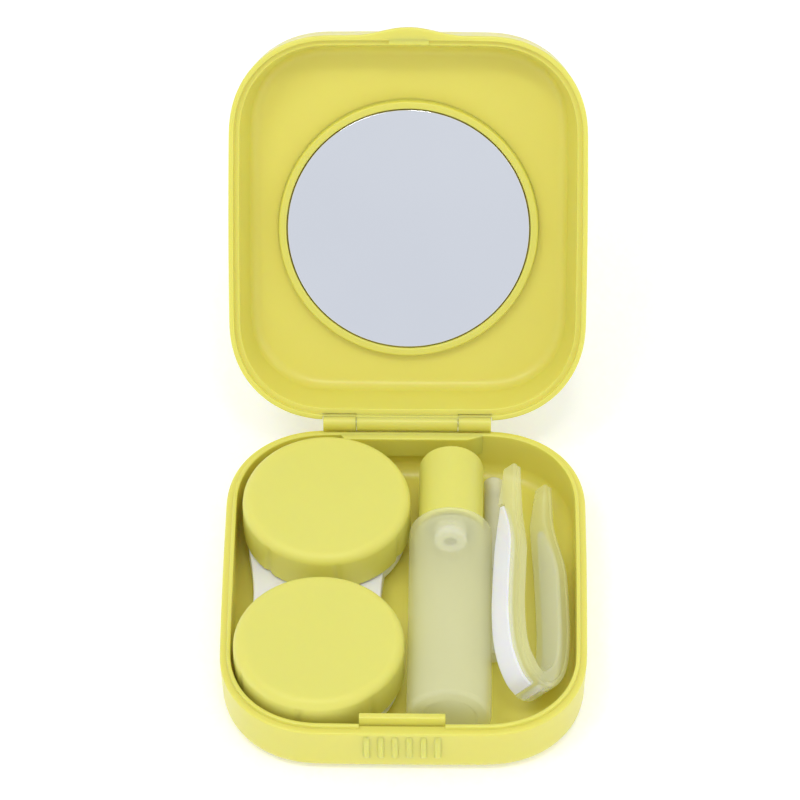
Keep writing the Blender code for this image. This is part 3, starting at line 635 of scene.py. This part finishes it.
def leaf_section(y):
    """The stiff outer leaf, from its low to its high edge; it narrows to a rounded tip."""
    grow = math.sin(math.pi / 2 * min(1.0, max(0.0, (LEAF_TIP_Y - y) / 13.0)))
    low = 0.5 * (1 - grow)
    high = 1.5 + (LEAF_HEIGHT - 1.5) * grow
    corners = [(0, low, 0.35), (LEAF_THICKNESS, low, 0.2), (LEAF_THICKNESS, high, 0.2), (0, high, 0.35)]
    return rounded(corners, 4, closed=True)


def soft_section(x, y):
    """The soft liner: behind the leaf and over its top edge, solid at the tip and at the bend."""
    tip = min(1.0, max(0.0, (y - LEAF_TIP_Y - 0.6) / (PAD_TIP_Y - LEAF_TIP_Y - 0.6)))
    low = 1.0 * tip
    high = TWEEZER_HEIGHT - 2.4 * smoothstep(3.0, 19.0, y)
    ribs = 0.1 * math.cos(2 * math.pi * y / 0.9) * smoothstep(20.5, 21.5, y)
    depth = ARM_THICKNESS - 1.0 * tip + ribs + 0.5 * smoothstep(-19.0, -24.0, y)
    solid = smoothstep(LEAF_TIP_Y + 0.1, LEAF_TIP_Y + 0.7, y) + 1 - smoothstep(1.1, 1.5, x)
    grow = math.sin(math.pi / 2 * min(1.0, max(0.0, (LEAF_TIP_Y - y) / 13.0)))
    step = 1.5 + (LEAF_HEIGHT - 1.5) * grow + 0.12
    step += (low + 0.12 - step) * solid
    behind = LEAF_THICKNESS + 0.08
    behind += (0.12 - behind) * solid
    groove = 1.0
    corners = [(behind, low, 0.1), (depth, low, 0.5), (depth, high, 0.6), (groove + 0.2, high, 0.05),
               (groove, high - 0.2, 0.05), (groove - 0.2, high, 0.05), (0, high, 0.4), (0, step, 0.08),
               (behind, step, 0.08)]
    return rounded(corners, 4, closed=True)


def sweep(name, path, sections, side, surface, ends=(True, True)):
    """Sweeps sections of (depth, height) along an arm's outer face; side is -1 left, 1 right."""
    tangent = np.gradient(path, axis=0)
    tangent /= np.linalg.norm(tangent, axis=1)[:, None]
    rings = []
    for (x, y), (tx, ty), section in zip(path, tangent, sections):
        rings.append([(side * (x - ty * depth), y + tx * depth, height) for depth, height in section])
    return loft(name, rings, surface, ROLLED, ends, sharp=50)


def make_tweezers():
    path = smooth_path(ARM_OUTLINE, 14)
    leaf_path = path[path[:, 1] < LEAF_TIP_Y]
    bend = np.array([(x, -25.7 - 0.25 * (1 - (x / 1.2) ** 2)) for x in (0.0, 0.3, 0.6, 0.9)])
    soft_path = np.concatenate((bend, path))
    soft_sections = [soft_section(x, y) for x, y in soft_path]
    for side, sign in (("left", -1), ("right", 1)):
        leaf_sections = [leaf_section(y) for x, y in leaf_path]
        leaf = sweep("tweezer_leaf_" + side, leaf_path, leaf_sections, sign, WHITE_PLASTIC)
        show(soften(leaf), side + "_arm", "white_plastic", "tweezer_%s_leaf" % side)
        liner = sweep("tweezer_liner_" + side, soft_path, soft_sections, sign, SILICONE, ends=(False, True))
        nodes = ["tweezer_%s_pad" % side] + (["tweezer_spring_end"] if side == "left" else [])
        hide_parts(*nodes)
        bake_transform(liner)


# ---- applicator -------------------------------------------------------------------------
def make_applicator():
    low, high = box_mm("applicator_handle")
    cup_low, cup_high = box_mm("applicator_cup")
    x = (low.x + high.x) / 2
    z = (low.z + high.z) / 2
    joint = cup_low.y - low.y
    spigot = joint + 6.7
    end = cup_high.y - low.y
    handle = [(0, spigot, 0), (1.1, spigot, 0.3), (1.1, joint - 0.3, 0.1), (1.8, joint - 0.3, 0.2),
              (1.8, 0, 0.7), (0, 0, 0)]
    cup = [(0, end - 2.6, 0), (1.0, end - 2.5, 0.5), (1.65, end, 0.08), (1.9, end, 0.08),
           (1.88, end - 0.8, 0.3), (1.78, end - 1.4, 0.4), (1.78, joint, 0.2), (1.4, joint, 0.1),
           (1.4, spigot + 0.3, 0.1), (0, spigot + 0.3, 0)]
    lying = along_y(x, low.y, z)
    show(soften(lathe("applicator_stem", rounded(handle, 5), FROSTED_GREY, lying, steps=64)),
         "applicator", "frosted_plastic", "applicator_handle")
    show(soften(lathe("applicator_suction_cup", rounded(cup, 5), SOFT_GREY, lying, steps=64)),
         "applicator", "soft_clear", "applicator_cup")


# ---- assembly and stage -----------------------------------------------------------------
def show(obj, body, slot, *nodes):
    """A finished piece rides on its body and stands for its CAD nodes; slot is not used."""
    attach(obj, body)
    if nodes:
        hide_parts(*nodes)
    return obj


def keep_node(node, surface):
    """A CAD node that stays as it is, with a better material."""
    mesh = frame["nodes"][node].data
    for i in range(len(mesh.materials)):
        mesh.materials[i] = surface


def make_stage():
    bm = bmesh.new()
    bmesh.ops.create_grid(bm, x_segments=1, y_segments=1, size=3000)
    floor = finish_mesh("floor", bm, FLOOR_PAINT)
    lit = FLOOR_PAINT.node_tree.nodes["Principled BSDF"]
    lit.inputs["Emission Color"].default_value = (1, 1, 1, 1)
    lit.inputs["Emission Strength"].default_value = FLOOR_GLOW


def area_light(name, place, aim, size, power, colour=(1, 1, 1)):
    lamp = bpy.data.lights.new(name, "AREA")
    lamp.shape = "RECTANGLE"
    lamp.size = size[0]
    lamp.size_y = size[1]
    lamp.energy = power
    lamp.color = colour
    obj = bpy.data.objects.new(name, lamp)
    bpy.context.scene.collection.objects.link(obj)
    obj.location = place
    obj.rotation_euler = (Vector(aim) - Vector(place)).to_track_quat("-Z", "Y").to_euler()


def studio_world():
    """A white tent: brighter overhead, a little darker and cooler towards the horizon."""
    world = bpy.data.worlds.new("studio")
    world.use_nodes = True
    tree = world.node_tree
    place = tree.nodes.new("ShaderNodeTexCoord")
    split = tree.nodes.new("ShaderNodeSeparateXYZ")
    ramp = tree.nodes.new("ShaderNodeValToRGB")
    ramp.color_ramp.elements[0].position = 0.3
    ramp.color_ramp.elements[0].color = (0.80, 0.83, 0.91, 1)
    ramp.color_ramp.elements[1].position = 0.9
    ramp.color_ramp.elements[1].color = (1.0, 1.0, 1.0, 1)
    tree.links.new(place.outputs["Generated"], split.inputs["Vector"])
    tree.links.new(split.outputs["Z"], ramp.inputs["Fac"])
    background = tree.nodes["Background"]
    tree.links.new(ramp.outputs["Color"], background.inputs["Color"])
    background.inputs["Strength"].default_value = 0.85
    return world


def make_lights():
    bpy.context.scene.world = studio_world()
    area_light("key", (-0.35, -0.25, 0.95), (0, 0.02, 0), (0.3, 0.3), 1.5)
    area_light("fill", (0.7, -0.2, 0.5), (0, 0.03, 0.02), (0.25, 0.5), 0.4)
    area_light("front", (0.08, -0.35, 1.15), (0, 0.0, 0.0), (0.18, 0.15), 1.6)


def make_camera():
    aim = Vector((-0.00149, 0.04573, 0.010))
    distance = 1.06385
    elevation = math.radians(47.99)
    azimuth = math.radians(1.09)
    roll = math.radians(-0.42)
    away = Vector((math.sin(azimuth) * math.cos(elevation), -math.cos(azimuth) * math.cos(elevation),
                   math.sin(elevation)))
    data = bpy.data.cameras.new("camera")
    data.lens = 249.23
    data.sensor_width = 36.0
    camera = bpy.data.objects.new("camera", data)
    bpy.context.scene.collection.objects.link(camera)
    right = (-away).cross(Vector((0, 0, 1))).normalized()
    up = right.cross(-away)
    across = right * math.cos(roll) + up * math.sin(roll)
    upward = up * math.cos(roll) - right * math.sin(roll)
    turn = Matrix((across, upward, away)).transposed().to_4x4()
    camera.matrix_world = Matrix.Translation(aim + away * distance) @ turn
    bpy.context.scene.camera = camera


OPENED = (Matrix.Translation((0, HINGE.y, HINGE.z)) @ Matrix.Rotation(-OPEN_ANGLE, 4, "X")
          @ Matrix.Translation((0, -HINGE.y, -HINGE.z)))
ROLLED = Matrix.Translation(TWEEZER_ORIGIN) @ Matrix.Rotation(TWEEZER_ROLL, 4, "Y")

SHELL = moulded_plastic("shell_yellow_plastic", (0.78, 0.73, 0.145), (0.76, 0.71, 0.135),
                        (0.29, 0.35), 2.4, skin_depth=0.003)
CAP_PLASTIC = moulded_plastic("cap_yellow_plastic", (0.79, 0.75, 0.165), (0.77, 0.73, 0.155),
                              (0.40, 0.50), 2.4, skin_depth=0.003)
WHITE_PLASTIC = moulded_plastic("white_plastic_surface", (0.90, 0.90, 0.98), (0.88, 0.88, 0.96),
                                (0.3, 0.4), 0.8)
FROSTED = clear_plastic("frosted_surface", (0.96, 0.96, 0.60), (0.94, 0.94, 0.56), (0.29, 0.35), 0.68)
SILICONE = clear_plastic("silicone_surface", (0.97, 0.97, 0.56), (0.95, 0.95, 0.52), (0.12, 0.18), 0.66)
FROSTED_GREY = clear_plastic("frosted_grey_surface", (0.97, 0.97, 0.78), (0.95, 0.95, 0.75),
                             (0.29, 0.37), 0.45)
SOFT_GREY = clear_plastic("soft_grey_surface", (0.90, 0.90, 0.74), (0.87, 0.87, 0.70), (0.29, 0.34), 0.45)
SILVERED = silvered_glass("mirror_surface")
PIN_METAL = metal("pin_surface")
PAD_FOAM = foam("foam_surface")
FLOOR_PAINT = moulded_plastic("floor_paint", (0.9, 0.9, 0.9), (0.89, 0.89, 0.89), (0.6, 0.7), 0.1, 300, 0.002)

make_base()
make_lid()
make_mirror()
make_lens_case()
make_bottle()
make_tweezers()
make_applicator()
keep_node("hinge_pin", PIN_METAL)
keep_node("mirror_adhesive_pad", PAD_FOAM)
make_stage()
make_lights()
make_camera()
bpy.context.scene.view_settings.view_transform = "Standard"
